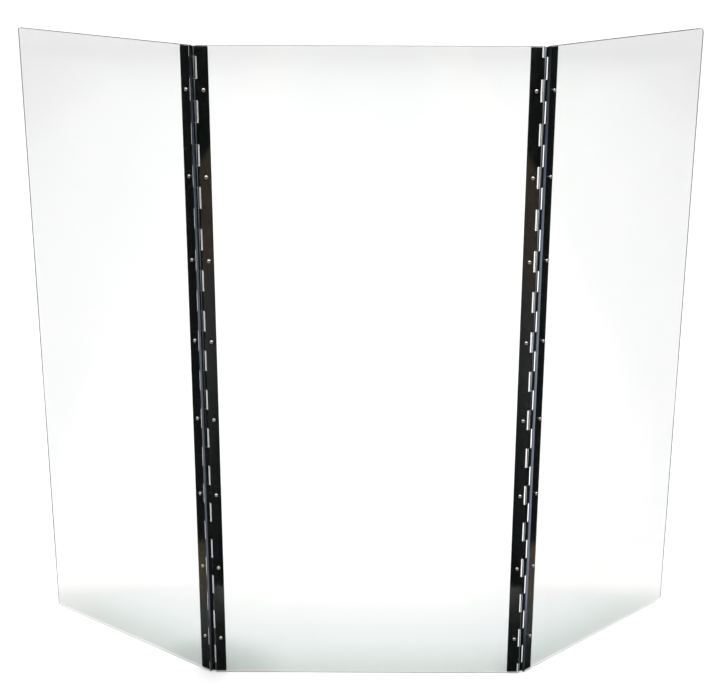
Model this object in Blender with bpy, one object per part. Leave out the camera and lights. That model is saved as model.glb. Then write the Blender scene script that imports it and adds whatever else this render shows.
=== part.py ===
"""A free-standing folding screen: a clear centre panel with a clear wing on each side.

Each wing hangs on a continuous hinge, riveted to the back faces of the two sheets that it joins.
The origin is the middle of the centre panel's bottom face. +X runs along the centre panel, to
the right as seen from the front, +Y points to the back, where the wings fold, and +Z is up.
All sizes are in metres. Where the two sides differ, -1 is the left one and 1 the right one.
"""

import math

import bmesh
import bpy
from mathutils import Matrix, Vector

# Sheets
PANEL_HEIGHT = 0.8128
PANEL_THICKNESS = 0.0045
CENTRE_WIDTH = 0.3988
WING_WIDTH = 0.2965
WING_EDGE = {-1: -0.0001, 1: 0.0019}  # from a hinge's axis to its wing's hinged edge
LEFT_CORNER_RADIUS = 0.002
RIGHT_CORNER_RADIUS = 0.006
CORNER_STEPS = 4

# How far each wing stands folded back from the plane of the centre panel
LEFT_FOLD = math.radians(37.3)
RIGHT_FOLD = math.radians(42.6)

# Continuous hinges, two lengths of one stock that stand the same way round
KNUCKLE_PITCH = PANEL_HEIGHT / 16  # one knuckle of each leaf
KNUCKLE_GAP = 0.0005  # endways, between neighbouring knuckles
HINGE_TRIM = 0.0010  # each end stops this far inside the sheet
LEAF_WIDTH = 0.0171  # from the axis to the leaf's outer edge
LEAF_THICKNESS = 0.0009
LEAF_CORNER_RADIUS = 0.0012
NOTCH_DEPTH = 0.0039  # from the axis to the bottom of a notch
PIN_RADIUS = 0.0011
BORE_RADIUS = 0.0012
KNUCKLE_RADIUS = BORE_RADIUS + LEAF_THICKNESS
CURL_ANGLE = math.radians(300)
CURL_STEPS = 8
PIN_SIDES = 12

# Blind rivets
RIVET_PITCH = 2 * KNUCKLE_PITCH
RIVETS_IN_A_ROW = 8
CENTRE_ROW_X = CENTRE_WIDTH / 2 - 0.0080
CENTRE_LEAF_ROW = {-1: 0.0112, 1: 0.0092}  # from the axis to the row
WING_LEAF_ROW = {-1: 0.0070, 1: 0.0107}
RIVET_HEAD_RADIUS = 0.0022
RIVET_CROWN_RADIUS = 0.0012
RIVET_HEAD_HEIGHT = 0.0009
RIVET_SHANK_RADIUS = 0.0012
RIVET_HOLE_RADIUS = 0.0014
RIVET_TAIL_RADIUS = 0.0018
RIVET_TAIL_END_RADIUS = 0.0013
RIVET_TAIL_HEIGHT = 0.0008
RIVET_SIDES = 8

FIT_GAP = 0.0002  # between pieces that touch
CUT_MARGIN = 0.001  # how far a hole's cutter runs past the wall

# Places that follow from the sizes above
AXIS_X = {side: side * (CENTRE_ROW_X + CENTRE_LEAF_ROW[side]) for side in (-1, 1)}
LEAF_FRONT_Y = PANEL_THICKNESS / 2 + FIT_GAP
LEAF_BACK_Y = LEAF_FRONT_Y + LEAF_THICKNESS
AXIS_Y = LEAF_FRONT_Y + KNUCKLE_RADIUS


def clear_scene():
    for obj in list(bpy.data.objects):
        bpy.data.objects.remove(obj)


def material(name, colour, roughness, metallic=0.0, transmission=0.0, ior=1.49):
    made = bpy.data.materials.new(name)
    made.use_nodes = True
    shader = made.node_tree.nodes["Principled BSDF"]
    shader.inputs["Base Color"].default_value = (*colour, 1)
    shader.inputs["Roughness"].default_value = roughness
    shader.inputs["Metallic"].default_value = metallic
    shader.inputs["Transmission Weight"].default_value = transmission
    shader.inputs["IOR"].default_value = ior
    return made


def mesh_from(bm, name):
    bmesh.ops.recalc_face_normals(bm, faces=bm.faces)
    mesh = bpy.data.meshes.new(name)
    bm.to_mesh(mesh)
    bm.free()
    return mesh


def add_object(name, mesh, parent, finish=None, location=(0, 0, 0)):
    obj = bpy.data.objects.new(name, mesh)
    bpy.context.scene.collection.objects.link(obj)
    obj.parent = parent
    obj.location = location
    if finish and not mesh.materials:
        mesh.materials.append(finish)
    return obj


def add_axis_empty(name, side, fold):
    """The frame of one wing: it stands on the hinge's axis, turned to the wing's fold."""
    empty = bpy.data.objects.new(name, None)
    bpy.context.scene.collection.objects.link(empty)
    empty.location = (AXIS_X[side], AXIS_Y, 0)
    empty.rotation_euler.z = side * fold
    return empty


def corner_arc(x, z, radius, start):
    """The points of a quarter circle inside the corner x, z, anticlockwise from the angle start."""
    middle = math.radians(start) + math.pi / 4
    centre_x = x - math.copysign(radius, math.cos(middle))
    centre_z = z - math.copysign(radius, math.sin(middle))
    for step in range(CORNER_STEPS + 1):
        angle = math.radians(start) + step * math.pi / 2 / CORNER_STEPS
        yield centre_x + radius * math.cos(angle), centre_z + radius * math.sin(angle)


def plate(outline, front_y, thickness):
    """A flat plate with this outline in X and Z, as a closed bmesh."""
    bm = bmesh.new()
    face = bm.faces.new([bm.verts.new((x, front_y, z)) for x, z in outline])
    made = bmesh.ops.extrude_face_region(bm, geom=[face])["geom"]
    moved = [item for item in made if isinstance(item, bmesh.types.BMVert)]
    bmesh.ops.translate(bm, verts=moved, vec=(0, thickness, 0))
    return bm


def rivet_heights():
    for number in range(RIVETS_IN_A_ROW):
        yield KNUCKLE_PITCH + number * RIVET_PITCH


def cut_rivet_holes(obj, rows_x, front_y, back_y):
    """Drills obj along each row of rivets. Heights are the same in every row."""
    bm = bmesh.new()
    depth = back_y - front_y + 2 * CUT_MARGIN
    upright_to_y = Matrix.Rotation(-math.pi / 2, 4, "X")
    for x in rows_x:
        for z in rivet_heights():
            place = Matrix.Translation((x, (front_y + back_y) / 2, z)) @ upright_to_y
            bmesh.ops.create_cone(
                bm, cap_ends=True, segments=RIVET_SIDES, depth=depth, matrix=place,
                radius1=RIVET_HOLE_RADIUS, radius2=RIVET_HOLE_RADIUS,
            )
    cutter = add_object(obj.name + "_holes", mesh_from(bm, obj.name + "_holes"), obj)
    cutter.hide_render = True
    cutter.display_type = "WIRE"
    holes = obj.modifiers.new("rivet_holes", "BOOLEAN")
    holes.operation = "DIFFERENCE"
    holes.object = cutter


def add_centre_panel(parent, finish):
    half = CENTRE_WIDTH / 2
    outline = [(-half, 0), (half, 0), (half, PANEL_HEIGHT), (-half, PANEL_HEIGHT)]
    front_y = -PANEL_THICKNESS / 2
    mesh = mesh_from(plate(outline, front_y, PANEL_THICKNESS), "centre_panel")
    panel = add_object("centre_panel", mesh, parent, finish)
    cut_rivet_holes(panel, (-CENTRE_ROW_X, CENTRE_ROW_X), front_y, front_y + PANEL_THICKNESS)


def add_wing_panel(name, side, corner_radius, parent, finish):
    """A wing's sheet in its hinge's frame. Its hinged corners are square and its outer ones round."""
    near = WING_EDGE[side]
    far = near + WING_WIDTH
    outline = [(near, 0), *corner_arc(far, 0, corner_radius, 270)]
    outline += [*corner_arc(far, PANEL_HEIGHT, corner_radius, 0), (near, PANEL_HEIGHT)]
    outline = [(side * x, z) for x, z in outline]
    front_y = -PANEL_THICKNESS / 2 - AXIS_Y
    mesh = mesh_from(plate(outline, front_y, PANEL_THICKNESS), name)
    panel = add_object(name, mesh, parent, finish)
    cut_rivet_holes(panel, (side * WING_LEAF_ROW[side],), front_y, front_y + PANEL_THICKNESS)


def knuckle_spans(has_end_knuckles):
    """The lowest and highest Z of each knuckle of a leaf.

    A leaf with end knuckles has them half cut off by the hinge's two ends. The other leaf's
    knuckles fill the notches between.
    """
    first = 0 if has_end_knuckles else KNUCKLE_PITCH / 2
    half = (KNUCKLE_PITCH / 2 - KNUCKLE_GAP) / 2
    lowest, highest = HINGE_TRIM, PANEL_HEIGHT - HINGE_TRIM
    middle = first
    while middle < PANEL_HEIGHT + half:
        yield max(lowest, middle - half), min(highest, middle + half)
        middle += KNUCKLE_PITCH


def leaf_outline(spans):
    """The flat of a leaf, with a corner at each end of each knuckle along its notched edge."""
    lowest, highest = HINGE_TRIM, PANEL_HEIGHT - HINGE_TRIM
    heights = sorted({lowest, highest, *(z for span in spans for z in span)}, reverse=True)
    outline = [*corner_arc(LEAF_WIDTH, lowest, LEAF_CORNER_RADIUS, 270)]
    outline += [*corner_arc(LEAF_WIDTH, highest, LEAF_CORNER_RADIUS, 0)]
    return outline + [(NOTCH_DEPTH, z) for z in heights]


def knuckle_roots(bm, spans):
    """The faces of the leaf's notched edge that its knuckles grow from."""
    for face in bm.faces:
        centre = face.calc_center_median()
        on_edge = all(abs(vert.co.x - NOTCH_DEPTH) < LEAF_THICKNESS / 10 for vert in face.verts)
        if on_edge and any(low < centre.z < high for low, high in spans):
            yield face


def extrude_each(bm, faces, move):
    """Pulls each face out of the leaf by itself and moves it."""
    faces = bmesh.ops.extrude_discrete_faces(bm, faces=faces)["faces"]
    verts = {vert for face in faces for vert in face.verts}
    bmesh.ops.transform(bm, matrix=move, verts=list(verts))
    return faces


def add_leaf(name, side, row, parent, finish, location=(0, 0, 0)):
    """One leaf, with its tongues rolled round the pin, on this side of the axis along X.

    Its origin is on the axis, and its rivets are at the distance row from it. The leaf towards
    +X has the end knuckles.
    """
    spans = list(knuckle_spans(has_end_knuckles=side > 0))
    bm = plate(leaf_outline(spans), -KNUCKLE_RADIUS, LEAF_THICKNESS)
    tongues = list(knuckle_roots(bm, spans))
    tongues = extrude_each(bm, tongues, Matrix.Translation((-NOTCH_DEPTH, 0, 0)))
    for _ in range(CURL_STEPS):
        tongues = extrude_each(bm, tongues, Matrix.Rotation(-CURL_ANGLE / CURL_STEPS, 4, "Z"))
    bmesh.ops.scale(bm, vec=(side, 1, 1), verts=bm.verts)
    leaf = add_object(name, mesh_from(bm, name), parent, finish, location)
    front_y = -KNUCKLE_RADIUS
    cut_rivet_holes(leaf, (side * row,), front_y, front_y + LEAF_THICKNESS)


def add_pin(name, side, parent, finish):
    length = PANEL_HEIGHT - 2 * HINGE_TRIM
    bm = bmesh.new()
    bmesh.ops.create_cone(
        bm, cap_ends=True, segments=PIN_SIDES, depth=length,
        radius1=PIN_RADIUS, radius2=PIN_RADIUS,
    )
    pin = add_object(name, mesh_from(bm, name), parent, finish)
    pin.location = (AXIS_X[side], AXIS_Y, PANEL_HEIGHT / 2)
    pin.data.shade_smooth()
    pin.data.set_sharp_from_angle(angle=math.radians(40))


def rivet_profile():
    """Radius and Y of a set rivet's outline, from the crown of its head to the end of its tail."""
    head_y = -PANEL_THICKNESS / 2 - FIT_GAP
    tail_y = LEAF_BACK_Y + FIT_GAP
    return (
        (RIVET_CROWN_RADIUS, head_y - RIVET_HEAD_HEIGHT),
        (RIVET_HEAD_RADIUS, head_y),
        (RIVET_SHANK_RADIUS, head_y),
        (RIVET_SHANK_RADIUS, tail_y),
        (RIVET_TAIL_RADIUS, tail_y),
        (RIVET_TAIL_END_RADIUS, tail_y + RIVET_TAIL_HEIGHT),
    )


def rivet_mesh(finish):
    """A turned rivet along Y, closed by a flat face at each end."""
    bm = bmesh.new()
    turn = Matrix.Rotation(2 * math.pi / RIVET_SIDES, 3, "Y")
    rings = []
    for radius, y in rivet_profile():
        point = Vector((radius, y, 0))
        ring = []
        for _ in range(RIVET_SIDES):
            ring.append(bm.verts.new(point))
            point = turn @ point
        rings.append(ring)
    for near, far in zip(rings, rings[1:]):
        for side in range(RIVET_SIDES):
            after = (side + 1) % RIVET_SIDES
            bm.faces.new((near[side], near[after], far[after], far[side]))
    bm.faces.new(rings[0])
    bm.faces.new(rings[-1])
    mesh = mesh_from(bm, "rivet")
    mesh.materials.append(finish)
    return mesh


def add_rivets(row, x, mesh, parent, y=0.0):
    for number, z in enumerate(rivet_heights(), 1):
        add_object(f"{row}_rivet_{number}", mesh, parent, location=(x, y, z))


def main():
    clear_scene()
    clear_sheet = material("clear_sheet", (0.93, 0.97, 0.96), 0.03, transmission=1.0)
    hinge_black = material("hinge_black", (0.012, 0.013, 0.015), 0.32, metallic=0.4)
    pin_steel = material("pin_steel", (0.45, 0.46, 0.47), 0.3, metallic=1.0)
    rivet_metal = material("rivet_metal", (0.86, 0.85, 0.83), 0.28, metallic=1.0)
    rivet = rivet_mesh(rivet_metal)

    centre = bpy.data.objects.new("centre_frame", None)
    bpy.context.scene.collection.objects.link(centre)
    add_centre_panel(centre, clear_sheet)
    wings = (("left", -1, LEFT_FOLD, LEFT_CORNER_RADIUS), ("right", 1, RIGHT_FOLD, RIGHT_CORNER_RADIUS))
    for name, side, fold, corner_radius in wings:
        wing = add_axis_empty(name + "_hinge_axis", side, fold)
        add_wing_panel(name + "_panel", side, corner_radius, wing, clear_sheet)
        wing_row, centre_row = WING_LEAF_ROW[side], CENTRE_LEAF_ROW[side]
        add_leaf(name + "_hinge_wing_leaf", side, wing_row, wing, hinge_black)
        add_leaf(
            name + "_hinge_centre_leaf", -side, centre_row, centre, hinge_black,
            location=(AXIS_X[side], AXIS_Y, 0),
        )
        add_pin(name + "_hinge_pin", side, centre, pin_steel)
        add_rivets(name + "_centre", side * CENTRE_ROW_X, rivet, centre)
        add_rivets(name + "_wing", side * wing_row, rivet, wing, y=-AXIS_Y)


main()
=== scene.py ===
"""The looks of a folding clear screen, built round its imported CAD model.

Three clear sheets stand on a pale floor. Black continuous hinges join them, riveted to their
backs. Sizes are in metres, and +Y is the side to which the wings fold.
"""
import math

import bmesh
import bpy
from mathutils import Matrix, Vector


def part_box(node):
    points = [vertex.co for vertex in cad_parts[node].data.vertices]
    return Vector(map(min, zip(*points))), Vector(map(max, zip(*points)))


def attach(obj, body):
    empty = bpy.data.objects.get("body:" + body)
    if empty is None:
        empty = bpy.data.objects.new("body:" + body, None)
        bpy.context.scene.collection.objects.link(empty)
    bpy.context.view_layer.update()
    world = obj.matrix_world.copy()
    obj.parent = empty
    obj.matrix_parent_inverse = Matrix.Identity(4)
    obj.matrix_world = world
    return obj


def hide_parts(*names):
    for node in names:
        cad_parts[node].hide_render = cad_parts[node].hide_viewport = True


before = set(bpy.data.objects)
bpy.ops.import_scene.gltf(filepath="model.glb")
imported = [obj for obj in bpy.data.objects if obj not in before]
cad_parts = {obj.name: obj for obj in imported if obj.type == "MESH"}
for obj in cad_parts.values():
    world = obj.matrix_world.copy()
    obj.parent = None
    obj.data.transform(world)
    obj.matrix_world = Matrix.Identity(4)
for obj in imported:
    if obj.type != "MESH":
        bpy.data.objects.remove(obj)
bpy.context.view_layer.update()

# Sizes that a box of the frame doesn't give
SHEET_THICKNESS = 0.0045
SHEET_CHAMFER = 0.0003
CORNER_RADIUS = {"centre": 0.0, "left": 0.002, "right": 0.006}
CORNER_STEPS = 8

KNUCKLES = 16  # of each leaf
KNUCKLE_GAP = 0.0005
LEAF_WIDTH = 0.0171
LEAF_THICKNESS = 0.0009
LEAF_CORNER_RADIUS = 0.0012
LEAF_ROUNDING = 0.00012
NOTCH_DEPTH = 0.0039
BORE_RADIUS = 0.0012
KNUCKLE_RADIUS = BORE_RADIUS + LEAF_THICKNESS
CURL_ANGLE = math.radians(300)
CURL_STEPS = 20
PIN_RADIUS = 0.0011
PIN_CHAMFER = 0.0003
PIN_SIDES = 32

RIVETS_IN_A_ROW = 8
RIVET_HOLE_RADIUS = 0.0014
RIVET_SIDES = 28
RIVET_TURN = math.radians(47)  # from one rivet to the next
FIT_GAP = 0.0002

# The camera: its place, its turns about Z, X and Y, and its lens on a 36 mm sensor
CAMERA_PLACE = Vector((-0.0047, -1.6781, 1.0097))
CAMERA_YAW = 0.0007
CAMERA_DOWN = 0.3234
CAMERA_ROLL = -0.0035
CAMERA_LENS = 71.78

SIDES = {"left": -1, "right": 1}


# Nodes of a material


def new_material(name):
    made = bpy.data.materials.new(name)
    made.use_nodes = True
    return made, made.node_tree, made.node_tree.nodes["Principled BSDF"]


def set_inputs(shader, **values):
    """Sets sockets by name, with _ for each space in it."""
    for name, value in values.items():
        shader.inputs[name.replace("_", " ")].default_value = value


def noise(tree, scale, detail=4.0, stretch=(1, 1, 1)):
    """Noise in the object's own space. stretch shrinks the pattern along an axis."""
    place = tree.nodes.new("ShaderNodeTexCoord")
    mapping = tree.nodes.new("ShaderNodeMapping")
    mapping.inputs["Scale"].default_value = stretch
    made = tree.nodes.new("ShaderNodeTexNoise")
    set_inputs(made, Scale=scale, Detail=detail)
    tree.links.new(place.outputs["Object"], mapping.inputs["Vector"])
    tree.links.new(mapping.outputs["Vector"], made.inputs["Vector"])
    return made.outputs["Fac"]


def object_place(tree):
    """Where a point is in its object's own space, as one vector and as X, Y and Z outputs."""
    place = tree.nodes.new("ShaderNodeTexCoord").outputs["Object"]
    split = tree.nodes.new("ShaderNodeSeparateXYZ")
    tree.links.new(place, split.inputs["Vector"])
    return place, split.outputs


def ramp(tree, source, stops, smooth=True):
    """A colour ramp over source. stops are (position, colour or grey)."""
    made = tree.nodes.new("ShaderNodeValToRGB")
    made.color_ramp.interpolation = "EASE" if smooth else "LINEAR"
    elements = made.color_ramp.elements
    while len(elements) < len(stops):
        elements.new(0.5)
    for element, (position, colour) in zip(elements, stops):
        element.position = position
        if not isinstance(colour, tuple):
            colour = (colour, colour, colour)
        element.color = (*colour, 1)
    tree.links.new(source, made.inputs["Fac"])
    return made.outputs["Color"]


def remap(tree, source, low, high, to_low=0.0, to_high=1.0):
    made = tree.nodes.new("ShaderNodeMapRange")
    set_inputs(made, From_Min=low, From_Max=high, To_Min=to_low, To_Max=to_high)
    tree.links.new(source, made.inputs["Value"])
    return made.outputs["Result"]


def math_node(tree, operation, first, second):
    made = tree.nodes.new("ShaderNodeMath")
    made.operation = operation
    for source, socket in zip((first, second), made.inputs):
        if isinstance(source, (int, float)):
            socket.default_value = source
        else:
            tree.links.new(source, socket)
    return made.outputs[0]


def vector_math(tree, operation, source, constant=None):
    """The outputs of an operation on the vector source, and on a constant one if it needs that."""
    made = tree.nodes.new("ShaderNodeVectorMath")
    made.operation = operation
    tree.links.new(source, made.inputs[0])
    if constant is not None:
        made.inputs[1].default_value = constant
    return made.outputs


def mix_colours(tree, factor, first, second, blend="MIX"):
    mix = tree.nodes.new("ShaderNodeMix")
    mix.data_type = "RGBA"
    mix.blend_type = blend
    for source, socket in ((factor, "Factor_Float"), (first, "A_Color"), (second, "B_Color")):
        target = next(item for item in mix.inputs if item.identifier == socket)
        if isinstance(source, float):
            target.default_value = source
        elif isinstance(source, tuple):
            target.default_value = (*source, 1)
        else:
            tree.links.new(source, target)
    return next(item for item in mix.outputs if item.identifier == "Result_Color")


def bump(tree, shader, height, distance, strength=1.0):
    made = tree.nodes.new("ShaderNodeBump")
    set_inputs(made, Strength=strength, Distance=distance)
    tree.links.new(height, made.inputs["Height"])
    tree.links.new(made.outputs["Normal"], shader.inputs["Normal"])


# Materials


def clear_sheet_material():
    """Clear acrylic, with the faint unevenness of a cast sheet."""
    made, tree, shader = new_material("clear_sheet")
    set_inputs(shader, Roughness=0.0, IOR=1.49, Transmission_Weight=1.0)
    haze = noise(tree, 9.0, 2.0)
    tint = ramp(tree, haze, [(0.3, (0.815, 0.825, 0.816)), (0.7, (0.825, 0.833, 0.826))])
    tree.links.new(tint, shader.inputs["Base Color"])
    return made


TOP_EDGE_FROM, TOP_EDGE_TO = 0.811, 0.8122  # heights between which an edge turns to the top one


def sheet_edge_material():
    """The polished outer edges, with a weak painted glow for the light piped out of the sheet. The
    top ones are dull.
    """
    made, tree, shader = new_material("sheet_edge")
    set_inputs(shader, IOR=1.49, Transmission_Weight=1.0)
    grain = noise(tree, 900.0, 3.0, (1, 1, 0.15))
    clear = ramp(tree, grain, [(0.3, (0.64, 0.71, 0.75)), (0.7, (0.72, 0.79, 0.83))])
    top = remap(tree, object_place(tree)[1]["Z"], TOP_EDGE_FROM, TOP_EDGE_TO)
    tree.links.new(mix_colours(tree, top, clear, (0.36, 0.33, 0.30)), shader.inputs["Base Color"])
    # Painted glow: a weak emission on the outer edges, standing in for light piped through the
    # sheet; none on the top edges.
    painted_glow = mix_colours(tree, top, (0.27, 0.275, 0.27), (0, 0, 0))
    tree.links.new(painted_glow, shader.inputs["Emission Color"])
    set_inputs(shader, Emission_Strength=1.0)
    tree.links.new(remap(tree, grain, 0.3, 0.7, 0.08, 0.2), shader.inputs["Roughness"])
    bump(tree, shader, grain, 0.00005, 0.3)
    return made


# The painted light on the wings' hinged edges: how bright it is on each wing, and its colour over
# height.
HINGED_EDGE_PAINTED_BRIGHTNESS = {"left": 0.58, "right": 1.3}
HINGED_EDGE_PAINTED_LIGHT_STOPS = [
    (0.0, (0.030, 0.035, 0.040)),
    (0.04, (0.06, 0.07, 0.085)),
    (0.07, (0.13, 0.15, 0.18)),
    (0.11, (0.30, 0.34, 0.44)),
    (0.44, (0.34, 0.385, 0.48)),
    (0.57, (0.29, 0.33, 0.41)),
    (0.66, (0.18, 0.205, 0.265)),
    (0.74, (0.085, 0.102, 0.145)),
    (0.78, (0.05, 0.06, 0.075)),
    (0.81, (0.015, 0.018, 0.022)),
]
HINGED_EDGE_FRONT, HINGED_EDGE_BACK = -0.0068, -0.0023  # Y from the hinge's axis


def hinged_edge_material(name):
    """A wing's hinged edge, painted with the blue light that the sheet pipes out there."""
    made, tree, shader = new_material(name + "_hinged_edge")
    set_inputs(shader, IOR=1.49)
    _, xyz = object_place(tree)
    painted_glow = ramp(tree, xyz["Z"], HINGED_EDGE_PAINTED_LIGHT_STOPS, smooth=False)
    grain = noise(tree, 700.0, 3.0, (1, 1, 0.1))
    brightness = HINGED_EDGE_PAINTED_BRIGHTNESS[name]
    saw_grain_and_painted_light = ramp(tree, grain, [(0.3, 0.75 * brightness), (0.7, brightness)])
    across = remap(tree, xyz["Y"], HINGED_EDGE_FRONT, HINGED_EDGE_BACK)
    # Painted shade across the edge, darker towards its front and back faces.
    depth = ramp(tree, across, [(0.0, 0.6), (0.1, 1.0), (0.6, 1.0), (0.85, 0.25)])
    colour = mix_colours(tree, 1.0, mix_colours(tree, saw_grain_and_painted_light, (0, 0, 0), painted_glow), depth, "MULTIPLY")
    tree.links.new(colour, shader.inputs["Base Color"])
    tree.links.new(remap(tree, grain, 0.3, 0.7, 0.25, 0.4), shader.inputs["Roughness"])
    bump(tree, shader, grain, 0.00004, 0.3)
    return made


BARREL_INSIDE, BARREL_OUTSIDE = 0.0022, 0.0024  # distances from the pin where a knuckle ends


def hinge_black_material():
    """Satin black on rolled steel. The upper knuckles have a grey streak, a painted highlight."""
    made, tree, shader = new_material("hinge_black_paint")
    set_inputs(shader, IOR=1.5, Specular_IOR_Level=0.4)
    cloud = noise(tree, 60.0, 5.0)
    grain = noise(tree, 1500.0, 2.0)
    dark, less_dark = (0.0008, 0.0016, 0.0018), (0.0018, 0.0030, 0.0032)
    black = ramp(tree, cloud, [(0.3, dark), (0.75, less_dark)])
    place, xyz = object_place(tree)
    flat = vector_math(tree, "MULTIPLY", place, (1, 1, 0))["Vector"]
    radius = vector_math(tree, "LENGTH", flat)["Value"]
    barrel = remap(tree, radius, BARREL_INSIDE, BARREL_OUTSIDE, 1.0, 0.0)
    # A painted highlight: a grey streak on the barrels, strongest on their upper part, where they
    # face partly to +X in the world.
    highlight_by_height = ramp(tree, xyz["Z"], [(0.3, 0.0), (0.45, 0.5), (0.6, 1.0)])
    facing = tree.nodes.new("ShaderNodeSeparateXYZ")
    normal = tree.nodes.new("ShaderNodeNewGeometry").outputs["Normal"]
    tree.links.new(normal, facing.inputs["Vector"])
    sideways = remap(tree, facing.outputs["X"], -0.25, 0.75)
    highlight_side = ramp(tree, sideways, [(0.1, 0.0), (0.25, 1.0), (0.55, 1.0), (0.8, 0.0)])
    painted_highlight = math_node(tree, "MULTIPLY", math_node(tree, "MULTIPLY", barrel, highlight_by_height), highlight_side)
    colour = mix_colours(tree, painted_highlight, black, (0.20, 0.235, 0.25))
    tree.links.new(colour, shader.inputs["Base Color"])
    tree.links.new(remap(tree, cloud, 0.3, 0.7, 0.2, 0.28), shader.inputs["Roughness"])
    bump(tree, shader, grain, 0.00002, 0.35)
    return made


def metal_material(name, texture, colours, roughness, relief=None):
    """Bare metal with marks in it. texture is noise()'s arguments, and relief bump()'s last two."""
    made, tree, shader = new_material(name)
    set_inputs(shader, Metallic=1.0)
    marks = noise(tree, *texture)
    tree.links.new(ramp(tree, marks, colours), shader.inputs["Base Color"])
    tree.links.new(remap(tree, marks, 0.3, 0.7, *roughness), shader.inputs["Roughness"])
    if relief:
        bump(tree, shader, marks, *relief)
    return made


def pin_material():
    """Drawn steel wire, with its marks along it."""
    colours = [(0.3, (0.26, 0.27, 0.29)), (0.7, (0.42, 0.43, 0.45))]
    return metal_material("pin_wire", (2500.0, 2.0, (1, 1, 0.02)), colours, (0.25, 0.4))


def rivet_material():
    """Bright aluminium with a warm cast and fine draw marks."""
    colours = [(0.25, (0.62, 0.56, 0.50)), (0.7, (0.84, 0.78, 0.71))]
    relief = (0.00002, 0.3)
    return metal_material("rivet_aluminium", (1800.0, 4.0), colours, (0.26, 0.36), relief)


def mandrel_material():
    """The broken end of a rivet's steel mandrel."""
    colours = [(0.3, (0.10, 0.07, 0.06)), (0.7, (0.24, 0.19, 0.17))]
    return metal_material("rivet_mandrel", (3000.0, 3.0), colours, (0.4, 0.7), (0.00008, 0.8))


# Where things are


def box_middle(node):
    low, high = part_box(node)
    return (Vector(low) + Vector(high)) / 2


class Wing:
    """One side of the screen: its hinge's axis and how its wing stands at rest.

    near and far are the wing's hinged and outer edges, and centre_row and wing_row its two rows
    of rivets, all as distances from the axis.
    """

    def __init__(self, name):
        self.name = name
        self.side = SIDES[name]
        low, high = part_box(name + "_hinge_pin")
        self.axis = Vector(((low.x + high.x) / 2, (low.y + high.y) / 2, 0))
        self.bottom, self.top = low.z, high.z
        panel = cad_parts[name + "_panel"].data
        normal = max(panel.polygons, key=lambda face: face.area).normal
        self.fold = math.atan2(abs(normal.x), abs(normal.y))
        self.place = Matrix.Translation(self.axis) @ Matrix.Rotation(self.side * self.fold, 4, "Z")
        to_wing = self.place.inverted()
        across = [self.side * (to_wing @ vert.co).x for vert in panel.vertices]
        self.near, self.far = min(across), max(across)
        self.centre_row = abs(box_middle(name + "_centre_rivet_1").x - self.axis.x)
        self.wing_row = self.side * (to_wing @ box_middle(name + "_wing_rivet_1")).x


def rivet_heights():
    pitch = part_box("centre_panel")[1].z / KNUCKLES
    for number in range(RIVETS_IN_A_ROW):
        yield pitch * (1 + 2 * number)


# Meshes


def smooth(mesh, below):
    """Shades the mesh smooth, apart from edges that turn by more than this many degrees."""
    mesh.shade_smooth()
    mesh.set_sharp_from_angle(angle=math.radians(below))


def mesh_from(bm, name, materials, smooth_below=None):
    bmesh.ops.recalc_face_normals(bm, faces=bm.faces)
    mesh = bpy.data.meshes.new(name)
    bm.to_mesh(mesh)
    bm.free()
    for material in materials:
        mesh.materials.append(material)
    if smooth_below:
        smooth(mesh, smooth_below)
    return mesh


def add_piece(name, mesh, body, node, slot, place=Matrix.Identity(4)):
    """A piece that stands for a CAD node and rides on that node's body."""
    piece = bpy.data.objects.new(name, mesh)
    bpy.context.scene.collection.objects.link(piece)
    piece.matrix_world = place
    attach(piece, body)
    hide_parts(node)
    piece.visible_shadow = slot != "clear_sheet"  # the sun shines through clear sheets
    return piece


def corner_arc(x, z, radius, start):
    """The points of a quarter circle inside the corner x, z, anticlockwise from the angle start."""
    middle = math.radians(start) + math.pi / 4
    centre_x = x - math.copysign(radius, math.cos(middle))
    centre_z = z - math.copysign(radius, math.sin(middle))
    for step in range(CORNER_STEPS + 1):
        angle = math.radians(start) + step * math.pi / 2 / CORNER_STEPS
        yield centre_x + radius * math.cos(angle), centre_z + radius * math.sin(angle)


def plate(outline, front_y, thickness):
    """A flat plate with this outline in X and Z, as a closed bmesh."""
    bm = bmesh.new()
    face = bm.faces.new([bm.verts.new((x, front_y, z)) for x, z in outline])
    made = bmesh.ops.extrude_face_region(bm, geom=[face])["geom"]
    moved = [item for item in made if isinstance(item, bmesh.types.BMVert)]
    bmesh.ops.translate(bm, verts=moved, vec=(0, thickness, 0))
    return bm


def bevel_sharp_edges(bm, width, segments, least_degrees=40):
    """Rounds the edges that turn by more than least_degrees."""
    bmesh.ops.recalc_face_normals(bm, faces=bm.faces)
    sharp = [e for e in bm.edges if e.calc_face_angle(0) > math.radians(least_degrees)]
    bmesh.ops.bevel(bm, geom=sharp, offset=width, segments=segments, profile=0.5, affect="EDGES")


def drill(mesh, name, rows_x, front_y, back_y):
    """The mesh with a row of rivet holes at each X."""
    bm = bmesh.new()
    upright_to_y = Matrix.Rotation(-math.pi / 2, 4, "X")
    for x in rows_x:
        for z in rivet_heights():
            place = Matrix.Translation((x, (front_y + back_y) / 2, z)) @ upright_to_y
            bmesh.ops.create_cone(
                bm, cap_ends=True, segments=RIVET_SIDES, matrix=place,
                depth=2 * (back_y - front_y), radius1=RIVET_HOLE_RADIUS, radius2=RIVET_HOLE_RADIUS,
            )
    cutter = bpy.data.objects.new(name + "_drill", mesh_from(bm, name + "_drill", []))
    drilled = bpy.data.objects.new(name + "_drilled", mesh)
    for obj in (cutter, drilled):
        bpy.context.scene.collection.objects.link(obj)
    holes = drilled.modifiers.new("rivet_holes", "BOOLEAN")
    holes.operation = "DIFFERENCE"
    holes.object = cutter
    graph = bpy.context.evaluated_depsgraph_get()
    made = bpy.data.meshes.new_from_object(drilled.evaluated_get(graph))
    made.name = name
    bpy.data.objects.remove(cutter)
    bpy.data.objects.remove(drilled)
    return made


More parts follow.
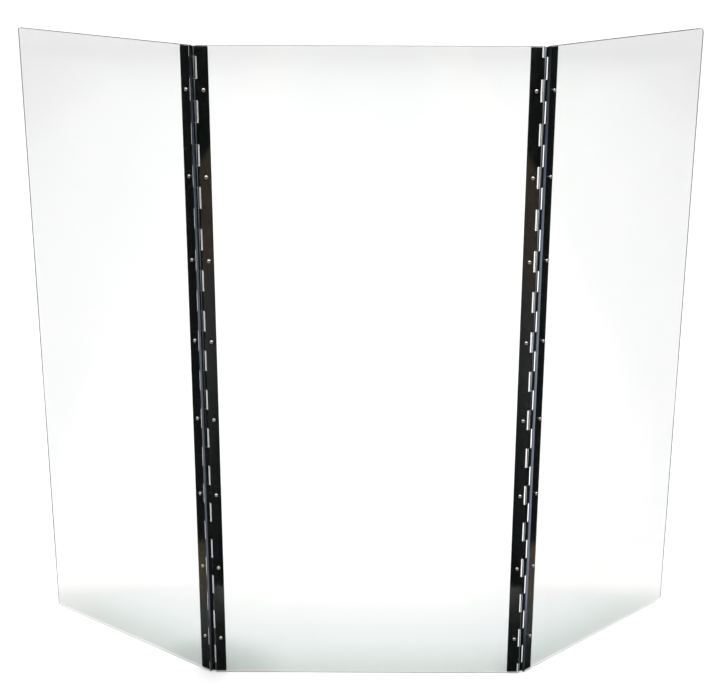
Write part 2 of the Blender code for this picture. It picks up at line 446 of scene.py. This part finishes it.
def sheet_mesh(name, outline, rows_x, hinged_x, front_y, materials):
    """A clear sheet. Its faces, outer edges and hinged edges take the three materials in turn."""
    bm = plate(outline, front_y, SHEET_THICKNESS)
    bevel_sharp_edges(bm, SHEET_CHAMFER, segments=1)
    bmesh.ops.recalc_face_normals(bm, faces=bm.faces)
    for face in bm.faces:
        if abs(face.normal.y) < 0.99:
            hinged = any(abs(face.calc_center_median().x - x) < SHEET_CHAMFER for x in hinged_x)
            face.material_index = 2 if hinged else 1
    mesh = mesh_from(bm, name, materials)
    return drill(mesh, name, rows_x, front_y, front_y + SHEET_THICKNESS)


def knuckle_spans(has_end_knuckles, lowest, highest):
    """The lowest and highest Z of each knuckle of a leaf. End knuckles are half ones."""
    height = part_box("centre_panel")[1].z
    pitch = height / KNUCKLES
    half = (pitch / 2 - KNUCKLE_GAP) / 2
    for number in range(KNUCKLES + has_end_knuckles):
        middle = pitch * (number if has_end_knuckles else number + 0.5)
        yield max(lowest, middle - half), min(highest, middle + half)


def leaf_mesh(name, wing, side, row, material):
    """A leaf on its axis, with its tongues rolled round the pin and its rivets in this row.

    Its flat reaches towards side. The leaf towards +X has the end knuckles.
    """
    lowest, highest = wing.bottom, wing.top
    spans = list(knuckle_spans(side > 0, lowest, highest))
    heights = sorted({lowest, highest, *(z for span in spans for z in span)}, reverse=True)
    outline = [*corner_arc(LEAF_WIDTH, lowest, LEAF_CORNER_RADIUS, 270)]
    outline += [*corner_arc(LEAF_WIDTH, highest, LEAF_CORNER_RADIUS, 0)]
    outline += [(NOTCH_DEPTH, z) for z in heights]
    front_y = -KNUCKLE_RADIUS
    bm = plate(outline, front_y, LEAF_THICKNESS)
    tongues = []
    for face in bm.faces:
        centre = face.calc_center_median()
        on_edge = all(abs(vert.co.x - NOTCH_DEPTH) < LEAF_THICKNESS / 10 for vert in face.verts)
        if on_edge and any(low < centre.z < high for low, high in spans):
            tongues.append(face)
    moves = [Matrix.Translation((-NOTCH_DEPTH, 0, 0))]
    moves += [Matrix.Rotation(-CURL_ANGLE / CURL_STEPS, 4, "Z")] * CURL_STEPS
    for move in moves:
        tongues = bmesh.ops.extrude_discrete_faces(bm, faces=tongues)["faces"]
        verts = {vert for face in tongues for vert in face.verts}
        bmesh.ops.transform(bm, matrix=move, verts=list(verts))
    bmesh.ops.scale(bm, vec=(side, 1, 1), verts=bm.verts)
    bevel_sharp_edges(bm, LEAF_ROUNDING, segments=2)
    mesh = mesh_from(bm, name, [material])
    mesh = drill(mesh, name, (side * row,), front_y, front_y + LEAF_THICKNESS)
    smooth(mesh, 35)
    return mesh


def turned(bm, profile, material_index=0, closed=False):
    """Turns a profile of (radius, y) round Y. An open profile gets a flat face at each end."""
    turn = Matrix.Rotation(2 * math.pi / RIVET_SIDES, 3, "Y")
    rings = []
    for radius, y in profile:
        point = Vector((radius, y, 0))
        ring = []
        for _ in range(RIVET_SIDES):
            ring.append(bm.verts.new(point))
            point = turn @ point
        rings.append(ring)
    pairs = list(zip(rings, rings[1:] + rings[:1] if closed else rings[1:]))
    faces = []
    for near, far in pairs:
        for start in range(RIVET_SIDES):
            after = (start + 1) % RIVET_SIDES
            faces.append(bm.faces.new((near[start], near[after], far[after], far[start])))
    if not closed:
        faces += [bm.faces.new(rings[0]), bm.faces.new(rings[-1])]
    for face in faces:
        face.material_index = material_index


def rivet_mesh(body_metal, mandrel_metal):
    """A set blind rivet: a hollow domed body, and in it what is left of its mandrel."""
    head = -SHEET_THICKNESS / 2 - FIT_GAP
    tail = SHEET_THICKNESS / 2 + 2 * FIT_GAP + LEAF_THICKNESS
    mm = 0.001
    body = [
        (0.76 * mm, head + 0.30 * mm),
        (0.78 * mm, head - 0.64 * mm),
        (0.90 * mm, head - 0.83 * mm),
        (1.16 * mm, head - 0.88 * mm),
        (1.50 * mm, head - 0.78 * mm),
        (1.84 * mm, head - 0.57 * mm),
        (2.08 * mm, head - 0.31 * mm),
        (2.20 * mm, head - 0.12 * mm),
        (2.17 * mm, head),
        (1.20 * mm, head),
        (1.20 * mm, tail),
        (1.68 * mm, tail + 0.04 * mm),
        (1.80 * mm, tail + 0.25 * mm),
        (1.72 * mm, tail + 0.50 * mm),
        (1.42 * mm, tail + 0.68 * mm),
        (1.02 * mm, tail + 0.72 * mm),
        (0.90 * mm, tail + 0.55 * mm),
        (0.84 * mm, tail + 0.20 * mm),
    ]
    mandrel = [
        (0.48 * mm, head - 0.28 * mm),
        (0.62 * mm, head - 0.18 * mm),
        (0.72 * mm, head + 0.10 * mm),
        (0.72 * mm, tail + 0.40 * mm),
        (0.80 * mm, tail + 0.62 * mm),
        (0.66 * mm, tail + 0.77 * mm),
        (0.34 * mm, tail + 0.80 * mm),
    ]
    bm = bmesh.new()
    turned(bm, body, 0, closed=True)
    turned(bm, mandrel, 1)
    return mesh_from(bm, "rivet", [body_metal, mandrel_metal], smooth_below=50)


def pin_mesh(name, wing, material):
    """A straight wire with chamfered ends."""
    bm = bmesh.new()
    length = wing.top - wing.bottom
    bmesh.ops.create_cone(
        bm, cap_ends=True, segments=PIN_SIDES, depth=length,
        radius1=PIN_RADIUS, radius2=PIN_RADIUS,
    )
    bevel_sharp_edges(bm, PIN_CHAMFER, segments=3, least_degrees=60)
    return mesh_from(bm, name, [material], smooth_below=30)


# The screen


def build_centre_sheet(materials):
    low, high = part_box("centre_panel")
    outline = [(low.x, low.z), (high.x, low.z), (high.x, high.z), (low.x, high.z)]
    rows_x = [box_middle(name + "_centre_rivet_1").x for name in SIDES]
    mesh = sheet_mesh("centre_sheet", outline, rows_x, (low.x, high.x), low.y, materials)
    add_piece("centre_sheet", mesh, "centre", "centre_panel", "clear_sheet")


def build_wing_sheet(wing, materials):
    low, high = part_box(wing.name + "_panel")
    radius = CORNER_RADIUS[wing.name]
    outline = [(wing.near, low.z), *corner_arc(wing.far, low.z, radius, 270)]
    outline += [*corner_arc(wing.far, high.z, radius, 0), (wing.near, high.z)]
    outline = [(wing.side * x, z) for x, z in outline]
    front_y = -wing.axis.y - SHEET_THICKNESS / 2
    name = wing.name + "_sheet"
    rows_x, hinged_x = (wing.side * wing.wing_row,), (wing.side * wing.near,)
    mesh = sheet_mesh(name, outline, rows_x, hinged_x, front_y, materials)
    add_piece(name, mesh, wing.name + "_wing", wing.name + "_panel", "clear_sheet", wing.place)


def build_hinge(wing, paint, wire):
    upright = Matrix.Translation(wing.axis)
    leaves = (
        ("_hinge_centre_leaf", -wing.side, wing.centre_row, "centre", upright),
        ("_hinge_wing_leaf", wing.side, wing.wing_row, wing.name + "_wing", wing.place),
    )
    for kind, side, row, body, place in leaves:
        node = wing.name + kind
        mesh = leaf_mesh(node + "_rolled", wing, side, row, paint)
        add_piece(node + "_rolled", mesh, body, node, "hinge_black", place)
    name = wing.name + "_hinge_wire"
    middle = Matrix.Translation(wing.axis + Vector((0, 0, (wing.top + wing.bottom) / 2)))
    mesh = pin_mesh(name, wing, wire)
    add_piece(name, mesh, "centre", wing.name + "_hinge_pin", "pin_steel", middle)


def build_rivets(wing, mesh):
    """A row through the centre sheet's leaf and a row through the wing's."""
    sheet_y = -wing.axis.y
    centre_place = Matrix.Translation((wing.axis.x - wing.side * wing.centre_row, 0, 0))
    wing_place = wing.place @ Matrix.Translation((wing.side * wing.wing_row, sheet_y, 0))
    rows = (("centre", "centre", centre_place), ("wing", wing.name + "_wing", wing_place))
    for row, body, place in rows:
        for number, z in enumerate(rivet_heights(), 1):
            node = f"{wing.name}_{row}_rivet_{number}"
            turn = Matrix.Rotation(RIVET_TURN * number, 4, "Y")
            at = place @ Matrix.Translation((0, 0, z)) @ turn
            add_piece(node + "_set", mesh, body, node, "rivet_metal", at)


# The studio


def straight_view(tree):
    """1 for what is seen directly or through a clear sheet, and 0 for what anything reflects."""
    rays = tree.nodes.new("ShaderNodeLightPath").outputs
    bounces = math_node(tree, "ADD", rays["Diffuse Depth"], rays["Glossy Depth"])
    return remap(tree, bounces, 0.0, 1.0, 1.0, 0.0)


def distance_along(tree, position, direction, origin):
    """How far position lies from origin, along direction."""
    along = vector_math(tree, "DOT_PRODUCT", position, direction)["Value"]
    return math_node(tree, "SUBTRACT", along, direction.dot(origin))


FLOOR_HALF_SIZE = 12.0

# The floor's tones as seen, tuned for the view from the front: painted shade close behind the
# sheets and round the left hinge's foot, and a painted fall-off of the light to the sides and far
# away.
# Each list of stops runs over the range of metres above it, and the foot's over plain metres.
BEHIND_SHEETS = (-0.02, 0.28)
BEHIND_SHADE_STOPS = [
    (0.05, (0.66, 0.66, 0.66)),
    (0.072, (0.345, 0.365, 0.353)),
    (0.097, (0.351, 0.379, 0.367)),
    (0.173, (0.381, 0.410, 0.398)),
    (0.250, (0.416, 0.434, 0.434)),
    (0.330, (0.443, 0.453, 0.457)),
    (0.497, (0.467, 0.468, 0.474)),
    (0.670, (0.481, 0.483, 0.480)),
    (0.760, (0.500, 0.500, 0.500)),
    (0.950, (0.680, 0.680, 0.680)),
]
BEHIND_CENTRE = (0.1, 0.3)
BEHIND_CENTRE_SHADE_STOPS = [
    (0.2, (0.360, 0.370, 0.365)),
    (0.425, (0.392, 0.405, 0.400)),
    (0.55, (0.410, 0.422, 0.423)),
    (0.62, (0.450, 0.455, 0.457)),
    (0.68, (0.480, 0.482, 0.482)),
    (0.8, (0.520, 0.520, 0.520)),
    (1.0, (0.680, 0.680, 0.680)),
]
OFF_ASIDE = (0.4, 2.0)
OFF_ASIDE_SHADE_STOPS = [(0.03, 0.51), (0.12, 0.475), (0.5, 0.445), (0.62, 0.42), (0.88, 0.395)]
FAR_OFF = (3.0, 8.0)
FAR_OFF_SHADE_STOPS = [
    (0.0, 0.51), (0.22, 0.466), (0.376, 0.456), (0.506, 0.437),
    (0.66, 0.4), (0.72, 0.388), (0.87, 0.396),
]
FOOT_SHADOW_STOPS = [(0.0, 0.8), (0.045, 0.82), (0.11, 1.0)]

# The floor's tones in reflections, in the same form, tuned by how the hinges shine
REFLECTED_IN_FRONT = (-0.3, 0.0)
FRONT_REFLECTED_STOPS = [(0.18, 0.01), (0.21, 0.18), (0.35, 0.10), (0.583, 0.03), (1.0, 0.012)]
REFLECTED_ASIDE = (0.2, 0.7)
SIDES_REFLECTED_STOPS = [
    (0.0, (0.015, 0.015, 0.015)),
    (0.14, (0.025, 0.030, 0.030)),
    (0.25, (0.075, 0.082, 0.082)),
    (0.40, (0.10, 0.10, 0.095)),
    (0.45, (0.14, 0.112, 0.09)),
    (0.76, (0.13, 0.10, 0.07)),
    (0.80, (0.01, 0.01, 0.01)),
]
PAST_HINGES = (0.22, 0.24)  # distances aside where the one gives way to the other


def floor_seen(tree, wings, position, xyz):
    """The floor's pale grey, with painted shade close behind the sheets, at a hinge's foot, aside
    and far away.
    """
    behind = xyz["Y"]
    for wing in wings:
        back = wing.place.to_3x3() @ Vector((0, 1, 0))
        from_wing = distance_along(tree, position, back, wing.axis)
        behind = math_node(tree, "MINIMUM", behind, from_wing)
    # Painted shade, darker close behind the sheets and behind the centre sheet.
    close = ramp(tree, remap(tree, behind, *BEHIND_SHEETS), BEHIND_SHADE_STOPS, smooth=False)
    behind_centre = remap(tree, xyz["Y"], *BEHIND_CENTRE)
    away = ramp(tree, behind_centre, BEHIND_CENTRE_SHADE_STOPS, smooth=False)
    near = mix_colours(tree, 1.0, close, away, "LIGHTEN")
    # Painted fall-off of the light, to the sides and far away.
    aside = math_node(tree, "ABSOLUTE", xyz["X"], 0.0)
    sides = ramp(tree, remap(tree, aside, *OFF_ASIDE), OFF_ASIDE_SHADE_STOPS, smooth=False)
    far = ramp(tree, remap(tree, xyz["Y"], *FAR_OFF), FAR_OFF_SHADE_STOPS, smooth=False)
    fall_off = mix_colours(tree, 1.0, sides, far, "DARKEN")
    open_floor = mix_colours(tree, 1.0, near, fall_off, "DARKEN")
    # Painted shadow round the left hinge's foot.
    from_foot = vector_math(tree, "DISTANCE", position, wings[0].axis)["Value"]
    foot = ramp(tree, from_foot, FOOT_SHADOW_STOPS)
    return mix_colours(tree, 1.0, open_floor, foot, "MULTIPLY")


def floor_reflected(tree, xyz):
    """The dim floor that shines in the sheets and hinges, from in front and from the sides."""
    in_front = remap(tree, xyz["Y"], *REFLECTED_IN_FRONT)
    front = ramp(tree, in_front, FRONT_REFLECTED_STOPS, smooth=False)
    aside = math_node(tree, "ABSOLUTE", xyz["X"], 0.0)
    reflected_aside = remap(tree, aside, *REFLECTED_ASIDE)
    sides = ramp(tree, reflected_aside, SIDES_REFLECTED_STOPS, smooth=False)
    past_hinges = ramp(tree, remap(tree, aside, *PAST_HINGES), [(0.0, 0.0), (1.0, 1.0)])
    return mix_colours(tree, past_hinges, front, sides)


def build_floor(wings):
    """A pale floor, with one set of tones for what is seen and a dim one for reflections."""
    bm = bmesh.new()
    bmesh.ops.create_grid(bm, x_segments=1, y_segments=1, size=FLOOR_HALF_SIZE)
    made, tree, shader = new_material("floor_paper")
    set_inputs(shader, Roughness=0.9, Specular_IOR_Level=0.0)
    position, xyz = object_place(tree)
    seen = floor_seen(tree, wings, position, xyz)
    colour = mix_colours(tree, straight_view(tree), floor_reflected(tree, xyz), seen)
    tree.links.new(colour, shader.inputs["Base Color"])
    floor = bpy.data.objects.new("floor", mesh_from(bm, "floor", [made]))
    bpy.context.scene.collection.objects.link(floor)


BACKDROP_STRENGTH = 1.36
ROOM_HEIGHTS = (-0.2, 0.8)
ROOM_STOPS = [(0.3, 0.02), (0.55, 0.6), (1.0, 1.0)]


def build_world():
    """A white backdrop. What shines in the sheets and hinges instead of it is a dim studio."""
    world = bpy.data.worlds.new("studio")
    bpy.context.scene.world = world
    world.use_nodes = True
    tree = world.node_tree
    tree.nodes.clear()
    place = tree.nodes.new("ShaderNodeTexCoord")
    split = tree.nodes.new("ShaderNodeSeparateXYZ")
    tree.links.new(place.outputs["Generated"], split.inputs["Vector"])
    room = ramp(tree, remap(tree, split.outputs["Z"], *ROOM_HEIGHTS), ROOM_STOPS)
    colour = mix_colours(tree, straight_view(tree), room, (1, 1, 1))
    shader = tree.nodes.new("ShaderNodeBackground")
    shader.inputs["Strength"].default_value = BACKDROP_STRENGTH
    tree.links.new(colour, shader.inputs["Color"])
    output = tree.nodes.new("ShaderNodeOutputWorld")
    tree.links.new(shader.outputs[0], output.inputs["Surface"])


SUN_STRENGTH = 5.3
SUN_ANGLE = math.radians(70)


def build_light():
    """A wide soft light from straight overhead."""
    sun = bpy.data.lights.new("overhead", "SUN")
    sun.energy = SUN_STRENGTH
    sun.angle = SUN_ANGLE
    light = bpy.data.objects.new("overhead", sun)
    light.location = (0, 0, 3)
    bpy.context.scene.collection.objects.link(light)


def build_camera():
    data = bpy.data.cameras.new("camera")
    data.lens = CAMERA_LENS
    camera = bpy.data.objects.new("camera", data)
    turn = Matrix.Rotation(CAMERA_YAW, 4, "Z") @ Matrix.Rotation(-CAMERA_DOWN, 4, "X")
    turn = turn @ Matrix.Rotation(CAMERA_ROLL, 4, "Y") @ Matrix.Rotation(math.pi / 2, 4, "X")
    camera.matrix_world = Matrix.Translation(CAMERA_PLACE) @ turn
    bpy.context.scene.collection.objects.link(camera)
    bpy.context.scene.camera = camera


def main():
    sheet_materials = (clear_sheet_material(), sheet_edge_material())
    paint = hinge_black_material()
    wire = pin_material()
    rivet = rivet_mesh(rivet_material(), mandrel_material())
    build_centre_sheet((*sheet_materials, sheet_materials[0]))
    wings = [Wing(name) for name in SIDES]
    for wing in wings:
        build_wing_sheet(wing, (*sheet_materials, hinged_edge_material(wing.name)))
        build_hinge(wing, paint, wire)
        build_rivets(wing, rivet)
    build_floor(wings)
    build_world()
    build_light()
    build_camera()
    bpy.context.scene.view_settings.view_transform = "Standard"


main()
bpy.context.view_layer.update()
